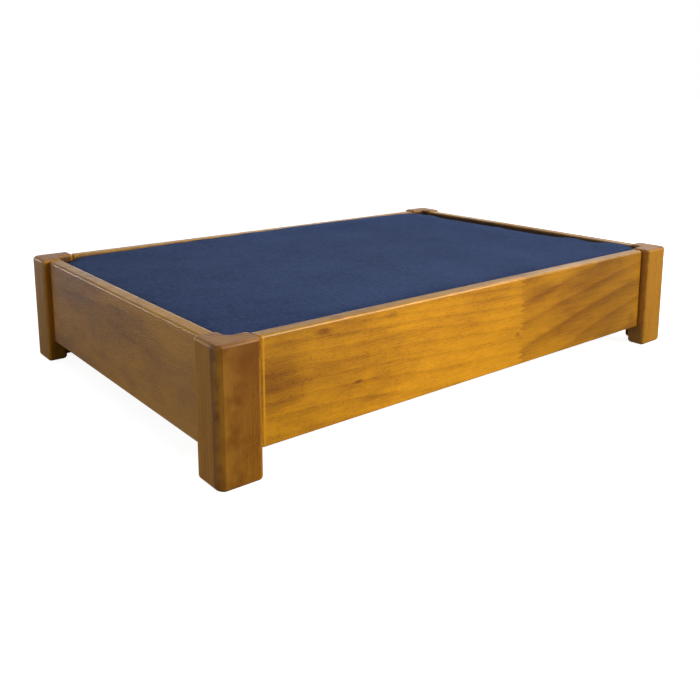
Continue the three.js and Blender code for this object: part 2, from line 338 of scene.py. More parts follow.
def around_mark(s, along, deep, ripple, mark):
    """One in the middle of a ragged oval mark, easing to nought outside it.

    A mark is its middle along the grain and up it, its reach both ways, how much darker it is, and
    how far it bends the rings.
    """
    centre_along, centre_deep, long, tall = mark[:4]
    away = s.length(
        s.math("MULTIPLY", s.math("SUBTRACT", along, centre_along), 1 / long),
        s.math("MULTIPLY", s.math("SUBTRACT", deep, centre_deep), 1 / tall),
    )
    return s.ease(s.math("MULTIPLY_ADD", ripple, MARK_RAGGED, away), *MARK_RANGE)


def wood_tone(s, grain, rings, bands, contrast, cloud, beyond):
    """How dark the wood is, with its fibres and its pores."""
    fibres = s.noise(s.scaled(grain, FIBRES), detail=3.0, roughness=0.65)
    flecks = s.noise(s.scaled(grain, FLECKS), detail=2.0, roughness=0.6)
    pores = s.ease(flecks, 0.50, 0.68)
    clouds = s.noise(s.scaled(grain, CLOUDS), detail=4.0, roughness=0.6)
    clouds = s.ease(clouds, 0.36, 0.70)
    mottle = s.noise(s.scaled(grain, MOTTLE), detail=3.0, roughness=0.65)

    tone = s.math("MULTIPLY_ADD", s.math("SUBTRACT", fibres, 0.5), STREAK_SHARE, TONE_START)
    mottle_share, ring_share, pore_share = MOTTLE_SHARE * cloud, RING_SHARE * contrast, PORE_SHARE
    if beyond:
        mottle_share = s.math("MULTIPLY_ADD", beyond, BEYOND_MOTTLE * cloud, mottle_share)
        ring_share = s.math("MULTIPLY_ADD", beyond, BEYOND_RINGS * contrast, ring_share)
        pore_share = s.math("MULTIPLY_ADD", beyond, BEYOND_PORES, pore_share)
        tone = s.math("MULTIPLY_ADD", beyond, BEYOND_TONE, tone)
    tone = s.math("MULTIPLY_ADD", s.math("SUBTRACT", mottle, 0.5), mottle_share, tone)
    tone = s.math("MULTIPLY_ADD", rings, ring_share, tone)
    tone = s.math("MULTIPLY_ADD", bands, BAND_SHARE * contrast, tone)
    tone = s.math("MULTIPLY_ADD", clouds, cloud, tone)
    tone = s.math("MULTIPLY_ADD", pores, pore_share, tone)
    return tone, fibres, pores


def painted_inner_shade(s, base, parts, normal, inside, within):
    """Painted shade: darker on faces that look the way inside points, no further out than within."""
    inward = s.add("ShaderNodeVectorMath", {0: normal, 1: inside}, output=1, operation="DOT_PRODUCT")
    inner_shade_mask = s.ease(inward, 0.6, 0.7, end=INNER_SHADE_STRENGTH)
    for far, limit in zip(parts, within):
        near_middle = s.math("LESS_THAN", s.math("ABSOLUTE", far), limit)
        inner_shade_mask = s.math("MULTIPLY", inner_shade_mask, near_middle)
    return s.mix(inner_shade_mask, base, INNER_SHADE_COLOUR)


def wood(
    name,
    axis,
    light,
    dark,
    heart,
    seed=0.0,
    spacing=5 * MM,
    taper=0.012,
    contrast=0.5,
    cloud=0.5,
    end_tone=0.62,
    end_colour=None,
    wear_and_highlight=0.35,
    marks=(),
    fingers=None,
    painted_veil=0.0,
    inside=None,
    within=(1.0, 1.0),
    roughness=0.36,
    coat=0.5,
):
    """Varnished wood sawn from a log that runs along the axis, its heart at that place across it.

    One argument sets how strongly faces that look left get a painted reflection, a milky grey veil over
    the wood.
    """
    s = Shader(name)
    place = s.place()
    parts = s.parts(place)
    along, across, deep = (parts[i] for i in GRAIN_ORDER[axis])
    grain = s.add("ShaderNodeCombineXYZ", {0: along, 1: across, 2: deep})
    beyond = None
    if fingers:
        beyond, jump, sloped = finger_joint(s, along, deep, fingers)
        grain = s.moved(grain, jump)
    seeds = tuple(seed * step for step in SEED_STEP)
    grain = s.moved(grain, seeds)
    ripple = s.noise(s.scaled(grain, RIPPLE), detail=1.0)
    radius = ring_radius(s, grain, ripple, (heart[0] + seeds[1], heart[1] + seeds[2]), taper)
    rings_apart = 1 / spacing
    if fingers:
        radius = s.math("ADD", sloped, radius)
        rings_apart = s.math("MULTIPLY_ADD", beyond, BEYOND_RINGS_APART / spacing, rings_apart)
    dark_marks = []
    for mark in marks:
        near = around_mark(s, along, deep, ripple, mark)
        dark_marks.append(s.math("MULTIPLY", near, mark[4]))
        radius = s.math("MULTIPLY_ADD", near, mark[5], radius)

    rings = s.curve(s.math("FRACT", s.math("MULTIPLY", radius, rings_apart)), RING_PROFILE)
    broad = s.math("MULTIPLY", radius, BANDS_PER_RING / spacing)
    bands = s.curve(s.math("FRACT", broad), BAND_PROFILE)
    tone, fibres, pores = wood_tone(s, grain, rings, bands, contrast, cloud, beyond)
    for mark in dark_marks:
        tone = s.math("ADD", tone, mark)
    base = s.mix(s.ease(tone, *TONE_RANGE), light, dark)

    normal = s.normal()
    facings = s.parts(normal)
    # Painted reflection: a milky grey veil on faces that look left.
    painted_veil_mask = s.math("MULTIPLY", s.ease(facings[0], -0.85, -0.99), painted_veil)
    base = s.mix(painted_veil_mask, base, PAINTED_VEIL_GREY)
    # Painted shade on the faces that look into the bed.
    if inside:
        base = painted_inner_shade(s, base, parts, normal, inside, within)
    end_grain = s.ease(s.math("ABSOLUTE", facings[GRAIN_ORDER[axis][0]]), 0.7, 0.97)
    end = end_colour or tuple(end_tone * channel for channel in light)
    end_dark = tuple(END_RING_TONE * channel for channel in end)
    ends = s.mix(s.math("MULTIPLY", rings, END_RING_STRENGTH), end, end_dark)
    base = s.mix(end_grain, base, ends)

    # Lighter convex edges, partly wear and partly a painted highlight on the arrises.
    edge = s.add("ShaderNodeAttribute", output=2, attribute_name="edge")
    scuffs = s.ease(s.noise(s.scaled(place, SCUFFS), detail=2.0), 0.3, 0.6)
    wear_and_highlight_mask = s.math("MULTIPLY", s.math("MULTIPLY", edge, scuffs), wear_and_highlight)
    base = s.mix(wear_and_highlight_mask, base, tuple(min(1.0, WEAR_AND_HIGHLIGHT_GAIN * channel + WEAR_AND_HIGHLIGHT_LIFT) for channel in light))

    satin = s.math("MULTIPLY_ADD", fibres, 0.12, roughness - 0.06)
    satin = s.math("MULTIPLY_ADD", end_grain, 0.14, satin)
    height = s.math("MULTIPLY_ADD", fibres, 0.5, s.math("MULTIPLY", pores, -0.7))
    varnish = {"Specular_IOR_Level": 0.42, "Coat_Weight": coat, "Coat_Roughness": 0.12}
    return s.surface(base, satin, height, GRAIN_DEPTH, **varnish)


# How fast the thick places in the threads change along X, Y and Z, per metre.
WARP_SLUBS = (900.0, 40.0, 60.0)
WEFT_SLUBS = (40.0, 900.0, 900.0)
WEAVE_SHARE = 0.55
MOTTLE_IN_CLOTH = 0.5
NAP_SHARE = 1.25
WEAVE_DEPTH = 0.16 * MM


def plain_weave(s, u, v, pitch):
    """Height of a plain weave over the two coordinates, from 0 to 1."""
    warp = s.math("MULTIPLY", u, HALF_TURN / pitch)
    weft = s.math("MULTIPLY", v, HALF_TURN / pitch)
    over = s.math("MULTIPLY", s.math("SINE", warp), s.math("SINE", weft))
    across = s.math("ABSOLUTE", s.math("SINE", warp))
    down = s.math("ABSOLUTE", s.math("SINE", weft))
    sign = s.ease(over, -0.25, 0.25)
    return s.add("ShaderNodeMix", {0: sign, 2: across, 3: down})


def woven(name, base, thread, pitch, sheen, slub=0.5):
    """Plain-woven cloth, its threads along the object's axes on whichever way a face looks."""
    s = Shader(name)
    place = s.place()
    x, y, z = s.parts(place)
    level = plain_weave(s, x, y, pitch)
    upright = plain_weave(s, s.math("ADD", x, y), z, pitch)
    flat = s.ease(s.math("ABSOLUTE", s.parts(s.normal())[2]), 0.55, 0.85)
    weave = s.add("ShaderNodeMix", {0: flat, 2: upright, 3: level})
    warp_slubs = s.noise(s.scaled(place, WARP_SLUBS), detail=1.0)
    weft_slubs = s.noise(s.scaled(place, WEFT_SLUBS), detail=1.0)
    slubs = s.math("ADD", s.math("SUBTRACT", warp_slubs, 0.5), s.math("SUBTRACT", weft_slubs, 0.5))
    mottle = s.noise(place, scale=9.0, detail=3.0)
    nap = s.noise(place, scale=260.0, detail=3.0, roughness=0.7)
    tone = s.math("MULTIPLY_ADD", slubs, slub, s.math("MULTIPLY", weave, WEAVE_SHARE))
    tone = s.math("MULTIPLY_ADD", s.math("SUBTRACT", mottle, 0.5), MOTTLE_IN_CLOTH, tone)
    tone = s.math("MULTIPLY_ADD", s.math("SUBTRACT", nap, 0.5), NAP_SHARE, tone)
    tint = s.mix(s.ease(tone, -0.2, 1.0), base, thread)
    height = s.math("MULTIPLY_ADD", slubs, 0.35, weave)
    height = s.math("MULTIPLY_ADD", nap, 0.3, height)
    rough = s.math("MULTIPLY_ADD", weave, -0.08, 0.92)
    fluff = {"Sheen_Weight": sheen, "Sheen_Roughness": 0.45, "Sheen_Tint": (0.6, 0.72, 1.0, 1.0)}
    return s.surface(tint, rough, height, WEAVE_DEPTH, Specular_IOR_Level=0.05, **fluff)


def metal(name, base, roughness):
    s = Shader(name)
    place = s.place()
    smudges = s.noise(place, scale=260.0, detail=3.0)
    scratches = s.noise(s.scaled(place, (900.0, 900.0, 5000.0)), detail=2.0)
    tint = s.mix(s.ease(smudges, 0.35, 0.75), base, tuple(0.72 * c for c in base))
    rough = s.math("MULTIPLY_ADD", smudges, 0.25, roughness - 0.1)
    return s.surface(tint, rough, scratches, 0.01 * MM, Metallic=1.0)


def plastic(name, base):
    s = Shader(name)
    place = s.place()
    grime = s.noise(place, scale=180.0, detail=3.0)
    tint = s.mix(s.ease(grime, 0.35, 0.7), base, tuple(1.5 * c for c in base))
    rough = s.math("MULTIPLY_ADD", grime, 0.2, 0.3)
    return s.surface(tint, rough, grime, 0.02 * MM)


def foam_material():
    s = Shader("foam")
    place = s.place()
    cells = s.add("ShaderNodeTexVoronoi", {"Vector": place, "Scale": 900.0})
    blotches = s.noise(place, scale=30.0, detail=3.0)
    tint = s.mix(s.ease(blotches, 0.3, 0.7), linear(238, 230, 200), linear(226, 214, 176))
    return s.surface(tint, 0.95, cells, 0.4 * MM, Subsurface_Weight=0.15)


# ---- Meshes -----------------------------------------------------------------

SMOOTH_LIMIT = math.radians(19)
BOARD_LIMIT = math.radians(31)
SCREW_LIMIT = math.radians(32)
SMALL_LIMIT = math.radians(35)
CHAIN_LIMIT = math.radians(50)
ARC_STEPS = 8
EASING_STEPS = 6


def new_piece(name, material, points, faces, edge=None):
    mesh = bpy.data.meshes.new(name)
    mesh.from_pydata([tuple(p) for p in points], [], faces)
    mesh.materials.append(material)
    if edge is not None:
        mesh.attributes.new("edge", "FLOAT", "POINT").data.foreach_set("value", edge)
    return add_object(name, mesh)


def shade(piece, limit=SMOOTH_LIMIT):
    """Smooth over the arcs, crisp at the sharp edges, and level over the flats."""
    piece.data.shade_smooth()
    piece.data.set_sharp_from_angle(angle=limit)
    keep_flats = piece.modifiers.new("level_flats", "WEIGHTED_NORMAL")
    keep_flats.keep_sharp = True
    return piece


def as_shown(piece):
    """A new mesh with the piece's modifiers in it."""
    graph = bpy.context.evaluated_depsgraph_get()
    return bpy.data.meshes.new_from_object(piece.evaluated_get(graph))


def bake(piece):
    """Puts the modifiers' result in the piece's own mesh."""
    mesh = as_shown(piece)
    piece.modifiers.clear()
    piece.data = mesh
    return piece


def joined(shapes):
    """The points and faces of several shapes as one."""
    points, faces = [], []
    for shape in shapes:
        faces += [tuple(i + len(points) for i in face) for face in shape[1]]
        points += shape[0]
    return points, faces


def cut(piece, shapes):
    """Takes the closed shapes out of the piece."""
    tool = new_piece("cutter", piece.data.materials[0], *joined(shapes))
    holes = piece.modifiers.new("holes", "BOOLEAN")
    holes.operation = "DIFFERENCE"
    holes.solver = "EXACT"
    holes.object = tool
    bake(piece)
    bpy.data.objects.remove(tool)
    return piece


def loft(rings):
    """A closed skin over rings of as many points each, which go round anticlockwise."""
    count = len(rings[0])
    points = [point for ring in rings for point in ring]
    faces = [tuple(range(count - 1, -1, -1))]
    for start in range(0, len(points) - count, count):
        for i in range(count):
            a, b = start + i, start + (i + 1) % count
            faces.append((a, b, b + count, a + count))
    faces.append(tuple(range(len(points) - count, len(points))))
    return points, faces


def placed(shape, matrix):
    points, faces = shape
    return [matrix @ Vector(p) for p in points], faces


def outline(corners, inset, steps=ARC_STEPS):
    """Points and edge values of an outline whose right-angled corners are rounded.

    A corner is x, y, radius and how far round its arc goes: an arc cut short leaves a crisp line.
    """
    found = []
    for i, (x, y, radius, sweep) in enumerate(corners):
        here = Vector((x, y))
        into = (here - Vector(corners[i - 1][:2])).normalized()
        away = (Vector(corners[(i + 1) % len(corners)][:2]) - here).normalized()
        convex = into.cross(away) > 0
        arc = radius - inset if convex else radius + inset
        moved = here + inset * (into.orthogonal() + away.orthogonal())
        centre = moved + arc * (away - math.sin(sweep) * into)
        for k in range(steps + 1):
            turn = sweep * k / steps
            point = centre + arc * (math.sin(turn) * into - math.cos(turn) * away)
            found.append((point, math.sin(2 * turn) if convex else 0.0))
    return found


def eased_prism(corners, bottom, top, easing, matrix=None, foot=None, steps=EASING_STEPS):
    """An upright prism on that outline, its edges rounded over, the bottom ones by the foot if given."""
    rings, edge = [], []
    levels = [(k * QUARTER_TURN / steps, -1) for k in range(steps + 1)]
    levels += [(turn, 1) for turn, _ in reversed(levels)]
    for turn, side in levels:
        radius = foot if foot and side < 0 else easing
        inset = radius * (1 - math.sin(turn))
        rise = radius * (1 - math.cos(turn))
        z = bottom + rise if side < 0 else top - rise
        ring = outline(corners, inset)
        rings.append([Vector((*point, z)) for point, _ in ring])
        edge += [max(math.sin(2 * turn), wear_and_highlight) for _, wear_and_highlight in ring]
    points, faces = loft(rings)
    if matrix is not None:
        points, faces = placed((points, faces), matrix)
    return points, faces, edge


def rectangle(low, high, radius):
    """Corners of an upright rectangle between two opposite corners."""
    places = ((low[0], low[1]), (high[0], low[1]), (high[0], high[1]), (low[0], high[1]))
    return [(*place, radius, QUARTER_TURN) for place in places]


def circle(radius, z, sides):
    turns = [2 * HALF_TURN * i / sides for i in range(sides)]
    return [(radius * math.cos(turn), radius * math.sin(turn), z) for turn in turns]


def lathe(profile, sides, matrix):
    """A closed skin turned about Z through the profile's (radius, height) points, from low to high."""
    return placed(loft([circle(r, z, sides) for r, z in profile]), matrix)


def middle_of(node):
    low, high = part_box(node)
    return (low + high) / 2


def size_of(node):
    low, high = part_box(node)
    return high - low


def named(*words):
    """The CAD nodes whose name holds every one of the words."""
    return [node for node in NODES if all(word in node for word in words)]


def touching(node, others, margin=1 * MM):
    """Which of the other nodes' boxes come within the margin of this node's."""
    low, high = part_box(node)
    near = []
    for other in others:
        other_low, other_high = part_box(other)
        if all(other_low[i] < high[i] + margin and low[i] - margin < other_high[i] for i in range(3)):
            near.append(other)
    return near


def settle(piece, body, slot, *nodes):
    """Puts a finished piece in the frame: it rides on the body and stands for any nodes."""
    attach(piece, body)
    if nodes:
        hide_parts(*nodes)
    return piece


# ---- Dowels and screws ------------------------------------------------------

DOWELS = named("dowel")
SCREWS = named("screw")
FLUTES = 14
FLUTE_STEPS = 6
FLUTE_DEPTH = 0.35 * MM
DOWEL_CHAMFER = 1 * MM
DOWEL_HOLE_SIDES = 24

# length, shank radius, head radius, head depth, tip, thread pitch
CLEAT_SCREW = (29 * MM, 2 * MM, 4 * MM, 2.4 * MM, 4 * MM, 2.2 * MM)
SLAT_SCREW = (17 * MM, 1.75 * MM, 3.5 * MM, 2.1 * MM, 3 * MM, 1.8 * MM)
THREAD_DEPTH = 0.45 * MM
THREAD_STEPS = 6
SCREW_SIDES = 20
HEAD_RIM = (0.25 * MM, 0.05 * MM)
HEAD_EASING = 0.15 * MM
HOLE_SIDES = 20
HOLE_TIP = 0.2 * MM
HOLE_ABOVE = 1 * MM

# The driver's cross in a screw's head: the reach of its arms at the top and at the foot and half
# their width, as shares of the head's radius, the foot's width as a share of the top's, and the
# cross's depth as a share of the head's.
CROSS_ARM, CROSS_FOOT, CROSS_WIDTH = 0.62, 0.35, 0.16
CROSS_TAPER = 0.7
CROSS_DEPTH = 0.8
CROSS_ABOVE = 0.4 * MM


def lying_along(axis, place):
    """Turns a shape that stands along +Z to lie along another axis, and moves it there."""
    return Matrix.Translation(place) @ turned_to(Vector(axis))


def dowel_axis(node):
    return (1, 0, 0) if size_of(node).x > size_of(node).y else (0, 1, 0)


def dowel_hole(node):
    radius, half = min(size_of(node)) / 2 + GAP, max(size_of(node)) / 2 + GAP
    bore = [(radius, -half), (radius, half)]
    return lathe(bore, DOWEL_HOLE_SIDES, lying_along(dowel_axis(node), middle_of(node)))


def add_dowels(materials):
    for node in DOWELS:
        radius, half = min(size_of(node)) / 2, max(size_of(node)) / 2
        profile = [(radius - DOWEL_CHAMFER, -half), (radius, -half + DOWEL_CHAMFER)]
        profile += [(r, -z) for r, z in reversed(profile)]
        steps = FLUTES * FLUTE_STEPS
        rings = []
        for r, z in profile:
            ring = []
            for i in range(steps):
                turn = 2 * HALF_TURN * i / steps
                groove = FLUTE_DEPTH * max(0.0, math.cos(FLUTES * turn))
                ring.append(((r - groove) * math.cos(turn), (r - groove) * math.sin(turn), z))
            rings.append(ring)
        axis = dowel_axis(node)
        shape = placed(loft(rings), lying_along(axis, middle_of(node)))
        piece = new_piece(node.replace("_dowel", "_peg"), materials[axis], *shape)
        settle(shade(piece, SMALL_LIMIT), "frame", "dowel_wood", node)


def screw_axis(node):
    """Which way a screw's head faces: up in a slat, into the bed in a cleat."""
    if "slat" in node:
        return (0, 0, 1)
    return (0, 1, 0) if "front" in node else (0, -1, 0)


def screw_head(node):
    """The middle of the head's flat top."""
    return middle_of(node) + size_of(node) / 2 * Vector(screw_axis(node))


def screw_hole(node):
    length, shank, head, depth, tip, _ = SLAT_SCREW if "slat" in node else CLEAT_SCREW
    profile = [
        (HOLE_TIP, -length - GAP),
        (shank + GAP, tip - length - GAP),
        (shank + GAP, -depth - GAP),
        (head + GAP, 0),
        (head + GAP, HOLE_ABOVE),
    ]
    return lathe(profile, HOLE_SIDES, lying_along(screw_axis(node), screw_head(node)))


def screw_shape(length, shank, head, depth, tip, pitch):
    """A countersunk screw with a helical thread, its head's top at z = 0."""
    rings = []
    core = shank - THREAD_DEPTH
    turns = round((length - depth) / pitch * THREAD_STEPS)
    for k in range(turns + 1):
        z = -length + (length - depth) * k / turns
        narrowing = min(1.0, (z + length) / tip + 0.05)
        ring = []
        for i in range(SCREW_SIDES):
            share = i / SCREW_SIDES
            crest = abs(2 * ((z / pitch - share) % 1.0) - 1)
            r = (core + THREAD_DEPTH * max(0.0, 2 * crest - 1)) * narrowing
            ring.append((r * math.cos(2 * HALF_TURN * share), r * math.sin(2 * HALF_TURN * share), z))
        rings.append(ring)
    for r, z in ((head, -HEAD_RIM[0]), (head, -HEAD_RIM[1]), (head - HEAD_EASING, 0.0)):
        rings.append(circle(r, z, SCREW_SIDES))
    return loft(rings)


def cross_recess(head, depth):
    """A tapering cross, for the driver."""
    width = CROSS_WIDTH * head

    def cross(reach, half, z):
        quarter = [(half, -half), (reach, -half), (reach, half), (half, half)]
        turned = []
        for k in range(4):
            c, s = round(math.cos(k * QUARTER_TURN)), round(math.sin(k * QUARTER_TURN))
            turned += [(c * x - s * y, s * x + c * y, z) for x, y in quarter[1:]]
        return turned
    foot = cross(CROSS_FOOT * head, width * CROSS_TAPER, -CROSS_DEPTH * depth)
    return loft([foot, cross(CROSS_ARM * head, width, CROSS_ABOVE)])


def add_screws(material):
    for words, sizes in (("slat", SLAT_SCREW), ("cleat", CLEAT_SCREW)):
        master = new_piece("screw", material, *screw_shape(*sizes))
        cut(master, [cross_recess(sizes[2], sizes[3])])
        for node in [n for n in SCREWS if words in n]:
            mesh = master.data.copy()
            mesh.transform(lying_along(screw_axis(node), screw_head(node)))
            piece = add_object(node + "_cut", mesh)
            body = "slatted_base" if words == "slat" else "frame"
            settle(shade(piece, SCREW_LIMIT), body, "screw_steel", node)
        bpy.data.objects.remove(master)


# ---- Frame ------------------------------------------------------------------

POST_LEG = 28 * MM
POST_OUTER = (12 * MM, math.radians(66))
POST_INNER_RADIUS = 8 * MM
POST_ARRIS = 5.5 * MM
POST_EASING = 4 * MM
POST_FOOT = 5.2 * MM
RAIL_END_RADIUS = 7 * MM
RAIL_INNER_ARRIS = 3.4 * MM
RAIL_EASING = 3 * MM
BOARD_ARRIS = 1.5 * MM
BOARD_CORNER = 1.8 * MM
BOARD_STEPS = 3


def add_posts(materials):
    for turns, node in enumerate(
        ["front_left_post", "front_right_post", "rear_right_post", "rear_left_post"]
    ):
        low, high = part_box(node)
        legs = (high.x - low.x, high.y - low.y)
        first, second = legs if turns % 2 == 0 else reversed(legs)
        corners = [
            (0, 0, *POST_OUTER),
            (first, 0, POST_ARRIS, QUARTER_TURN),
            (first, POST_LEG, POST_ARRIS, QUARTER_TURN),
            (POST_LEG, POST_LEG, POST_INNER_RADIUS, QUARTER_TURN),
            (POST_LEG, second, POST_ARRIS, QUARTER_TURN),
            (0, second, POST_ARRIS, QUARTER_TURN),
        ]
        x = low.x if "left" in node else high.x
        y = low.y if "front" in node else high.y
        matrix = Matrix.Translation((x, y, 0)) @ Matrix.Rotation(turns * QUARTER_TURN, 4, "Z")
        shape = eased_prism(corners, 0, high.z, POST_EASING, matrix, POST_FOOT)
        post = new_piece(node.replace("_post", "_corner_post"), materials[node], *shape)
        cut(post, [dowel_hole(n) for n in touching(node, DOWELS)])
        settle(shade(post), "frame", "post_wood", node)


def add_rails(materials):
    for node in ("front_rail", "rear_rail", "left_rail", "right_rail"):
        low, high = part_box(node)
        outside = {
            "front_rail": (0, 1), "right_rail": (1, 2), "rear_rail": (2, 3), "left_rail": (3, 0),
        }[node]
        corners = [
            (x, y, RAIL_END_RADIUS if i in outside else RAIL_INNER_ARRIS, QUARTER_TURN)
            for i, (x, y, _, _) in enumerate(rectangle(low, high, 0))
        ]
        shape = eased_prism(corners, low.z, high.z, RAIL_EASING)
        rail = new_piece(node.replace("_rail", "_side_rail"), materials[node], *shape)
        holes = [dowel_hole(n) for n in touching(node, DOWELS)]
        holes += [screw_hole(n) for n in touching(node, SCREWS)]
        cut(rail, holes)
        settle(shade(rail), "frame", "rail_wood", node)


def add_board(node, body, material):
    low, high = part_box(node)
    corners = rectangle(low, high, BOARD_CORNER)
    shape = eased_prism(corners, low.z, high.z, BOARD_ARRIS, steps=BOARD_STEPS)
    board = new_piece(node + "_board", material, *shape)
    holes = [screw_hole(n) for n in touching(node, SCREWS, margin=0)]
    if holes:
        cut(board, holes)
    return settle(shade(board, BOARD_LIMIT), body, "base_wood", node)


# ---- Mattress ---------------------------------------------------------------

MATTRESS_RADIUS = 14 * MM
MATTRESS_EDGE = 5 * MM
SWELL_ROOM = 3 * MM
SWELL_CAP = 4 * MM
SIDE_SWELL = 0.8 * MM
EDGE_CRISPNESS = 2.2
VOXEL = 6 * MM
FILL_FRAMES = 20
FILL_PRESSURE = 4
FILL_MASS = 0.2
STRETCH_STIFFNESS = 12
BEND_STIFFNESS = 0.6
HEADROOM = 0.5 * MM
UNDERSIDE_ROOM = 1 * MM
ZIP_ROOM = 0.2 * MM
OVERSTRETCH = 3 * SIDE_SWELL
CORE_INSET = 2 * MM
CORE_TOP_INSET = 4 * MM
CORE_RADIUS = MATTRESS_RADIUS - 4 * MM
CORE_EDGE = 5 * MM

# Small waves: their height, how fast they change per metre, and a seed.
EDGE_WAVE = (1.5 * MM, 34, 1.7)
EDGE_WAVE_REACH = 30 * MM
TOP_WAVE = (0.8 * MM, 9, 4.1)

SEAM_RADIUS = 1.3 * MM
SEAM_SUNK = 0.9 * MM
SEAM_SIDES = 8
SEAM_STEP = 6 * MM
SEAM_SHORTEST = 1.5 * MM
SEAM_BELOW_TOP = 8 * MM
SEAM_ABOVE_BOTTOM = 6 * MM
PROBE_OUTSIDE = Vector((20 * MM, 20 * MM, 0))
PROBE_RADIUS = 50 * MM
PROBE_STEPS = 40

# Where the top stands up: x, y, reach along x and y, and how much.
PUFFS = (
    (0.352, -0.205, 0.030, 0.030, 6.0 * MM),
    (0.366, -0.127, 0.022, 0.020, 2.6 * MM),
    (-0.210, 0.232, 0.100, 0.045, 2.3 * MM),
    (0.130, 0.240, 0.270, 0.035, 7.6 * MM),
    (0.371, 0.080, 0.022, 0.200, -3.2 * MM),
    (-0.371, 0.245, 0.020, 0.020, -7.5 * MM),
    (0.371, 0.245, 0.024, 0.022, -5.0 * MM),
    (0.0, 0.0, 0.30, 0.19, 1.5 * MM),
)


def mattress_box():
    low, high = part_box("cover_bottom")
    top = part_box("cover_top")[1].z
    return low, Vector((high.x, high.y, top))


def inflated(piece, cap):
    """Fills the piece like a bag, no point going much further than the cap."""
    scene = bpy.context.scene
    start = np.array([v.co for v in piece.data.vertices])
    cloth = piece.modifiers.new("filling", "CLOTH")
    cloth.settings.quality = 4
    cloth.settings.mass = FILL_MASS
    cloth.settings.use_pressure = True
    cloth.settings.uniform_pressure_force = FILL_PRESSURE
    cloth.settings.effector_weights.gravity = 0
    cloth.settings.tension_stiffness = STRETCH_STIFFNESS
    cloth.settings.compression_stiffness = STRETCH_STIFFNESS
    cloth.settings.bending_stiffness = BEND_STIFFNESS
    for step in range(1, FILL_FRAMES + 1):
        scene.frame_set(step)
    bake(piece)
    scene.frame_set(1)
    moved = np.array([v.co for v in piece.data.vertices]) - start
    far = np.linalg.norm(moved, axis=1, keepdims=True)
    return start + moved * np.tanh(far / cap) * cap / np.maximum(far, 1e-9)


def filled_out(points, low, high):
    """Stretched until the sides meet the rails' limits and the top edge is nearly square."""
    for axis in (0, 1):
        reach = np.abs(points[:, axis]).max()
        points[:, axis] *= (high[axis] + OVERSTRETCH) / reach
        points[:, axis] = points[:, axis].clip(low[axis] - SIDE_SWELL, high[axis] + SIDE_SWELL)
    points[:, 1] = points[:, 1].clip(None, high.y + ZIP_ROOM)
    middle, bulge = (low.z + high.z) / 2, points[:, 2].max()
    above = ((points[:, 2] - middle) / (bulge - middle)).clip(0, 1)
    risen = middle + (bulge - middle) * (1 - (1 - above) ** EDGE_CRISPNESS)
    points[:, 2] = np.where(points[:, 2] > middle, risen, points[:, 2])
    return points


def wave(x, y, kind):
    height, rate, seed = kind
    return height * noise.noise(Vector((x * rate, y * rate, seed)))


def relief(x, y, high):
    """How far the top stands up at a place: puffs, and small waves along the edges."""
    rise = 0.0
    for px, py, wide, deep, height in PUFFS:
        rise += height * math.exp(-((x - px) / wide) ** 2 - ((y - py) / deep) ** 2)
    inward = min(high.x - abs(x), high.y - abs(y))
    rise += math.exp(-max(inward, 0.0) / EDGE_WAVE_REACH) * wave(x, y, EDGE_WAVE)
    return rise + wave(x, y, TOP_WAVE)


def shaped(points, low, high):
    """The filled cover pressed into its box, with the relief growing towards its top."""
    points = filled_out(points, low, high)
    for point in points:
        share = min(1.0, max(0.0, (point[2] - low.z) / (high.z - low.z)))
        point[2] += relief(point[0], point[1], high) * share ** 3
        point[2] = min(max(point[2], low.z + GAP), cad_high.z - HEADROOM)
    return points


def add_cover(fabric):
    low, high = mattress_box()
    room = Vector((SWELL_ROOM, SWELL_ROOM, 0))
    corners = rectangle(low + room, high - room, MATTRESS_RADIUS - SWELL_ROOM)
    bottom, top = low.z + UNDERSIDE_ROOM, high.z - SWELL_ROOM
    shape = eased_prism(corners, bottom, top, MATTRESS_EDGE)
    cover = new_piece("mattress_cover", fabric, *shape[:2])
    even = cover.modifiers.new("even", "REMESH")
    even.mode = "VOXEL"
    even.voxel_size = VOXEL
    bake(cover)
    points = inflated(cover, SWELL_CAP)
    points = shaped(points, low, high)
    cover.data.vertices.foreach_set("co", points.astype(np.float32).ravel())
    finer = cover.modifiers.new("finer", "SUBSURF")
    finer.levels = finer.render_levels = 1
    bake(cover)
    cover.data.shade_smooth()
    settle(cover, "mattress", "cover_fabric", "cover_top", "cover_bottom", "cover_band")
    return cover


def add_core(foam):
    low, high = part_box("mattress_core")
    inset = Vector((CORE_INSET, CORE_INSET, CORE_INSET))
    corners = rectangle(low + inset, high - inset, CORE_RADIUS)
    shape = eased_prism(corners, low.z + CORE_INSET, high.z - CORE_TOP_INSET, CORE_EDGE)
    core = new_piece("foam_core", foam, *shape[:2])
    settle(shade(core), "mattress", "foam", "mattress_core")


def evenly_round(corners):
    """Points a seam's step apart, round an outline."""
    loop = [point for point, _ in outline(corners, 0, PROBE_STEPS)]
    even = []
    for i, point in enumerate(loop):
        after = loop[(i + 1) % len(loop)]
        steps = max(1, round((after - point).length / SEAM_STEP))
        even += [point.lerp(after, k / steps) for k in range(steps)]
    return even


